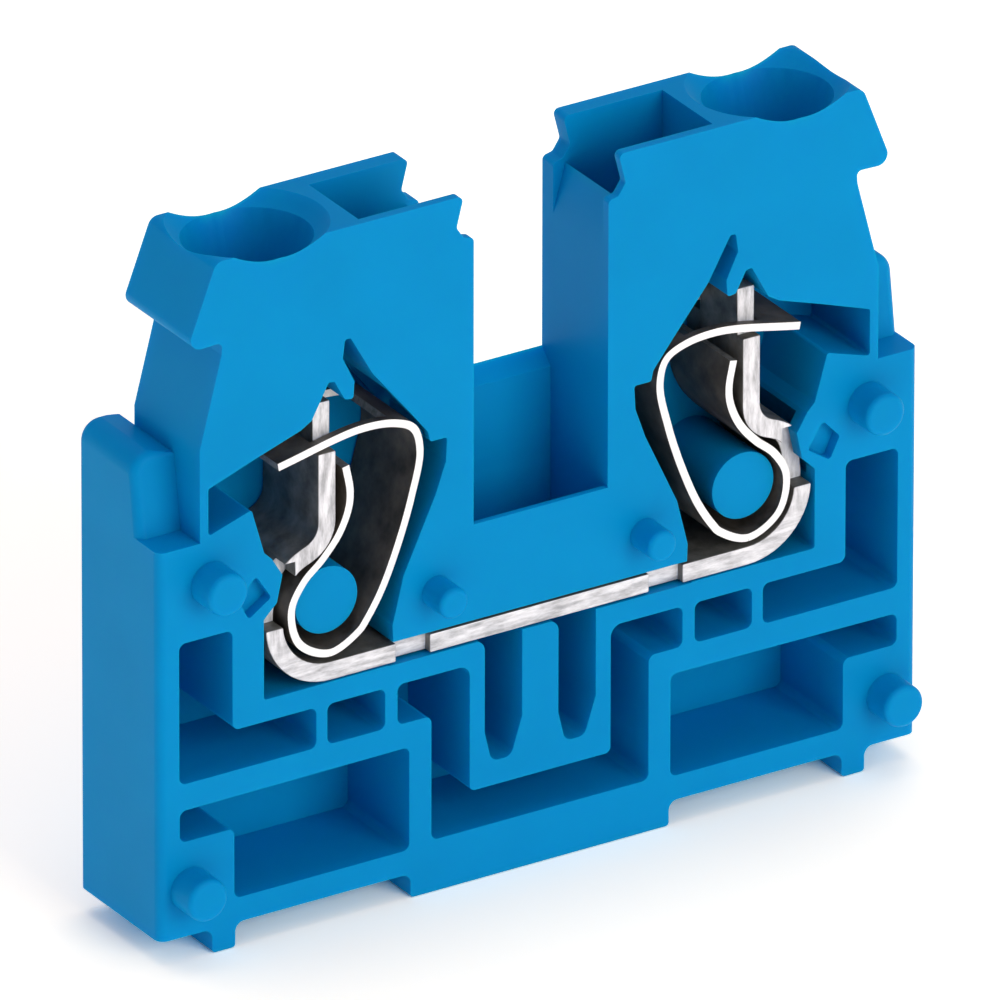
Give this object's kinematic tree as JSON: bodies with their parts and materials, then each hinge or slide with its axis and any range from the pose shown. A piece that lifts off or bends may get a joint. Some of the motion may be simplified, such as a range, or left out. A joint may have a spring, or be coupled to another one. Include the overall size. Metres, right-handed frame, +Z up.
{
  "type": "din rail terminal block",
  "caption": "Moulded feed-through terminal block, open on one face, with spring clamps at both ends of a bent current bar.",
  "frame": {"origin": "centre of the underside of the base pad, midway through the housing's thickness", "axes": "+X along the block, +Y from the open face to the closed back, +Z up to the wire entries"},
  "size_m": [0.035, 0.0074, 0.0298],
  "materials": {
    "blue_polyamide": "satin",
    "tinned_copper": "satin",
    "spring_steel": "satin"
  },
  "bodies": {
    "block": {"housing": "blue_polyamide", "current_bar": "tinned_copper", "spring_left": "spring_steel", "spring_right": "spring_steel"},
    "arm_right": {"clamp_arm_right": "spring_steel"},
    "arm_left": {"clamp_arm_left": "spring_steel"}
  },
  "joints": [
    {"name": "clamp_right", "type": "hinge", "parent": "block", "child": "arm_right", "pos_m": [0.0096, -0.0009, 0.01376], "axis": [0, 1, 0], "range_deg": [0, 18], "stiffness_Nm_per_rad": 0.02},
    {"name": "clamp_left", "type": "hinge", "parent": "block", "child": "arm_left", "pos_m": [-0.0096, -0.0009, 0.01376], "axis": [0, -1, 0], "range_deg": [0, 18], "stiffness_Nm_per_rad": 0.02}
  ]
}
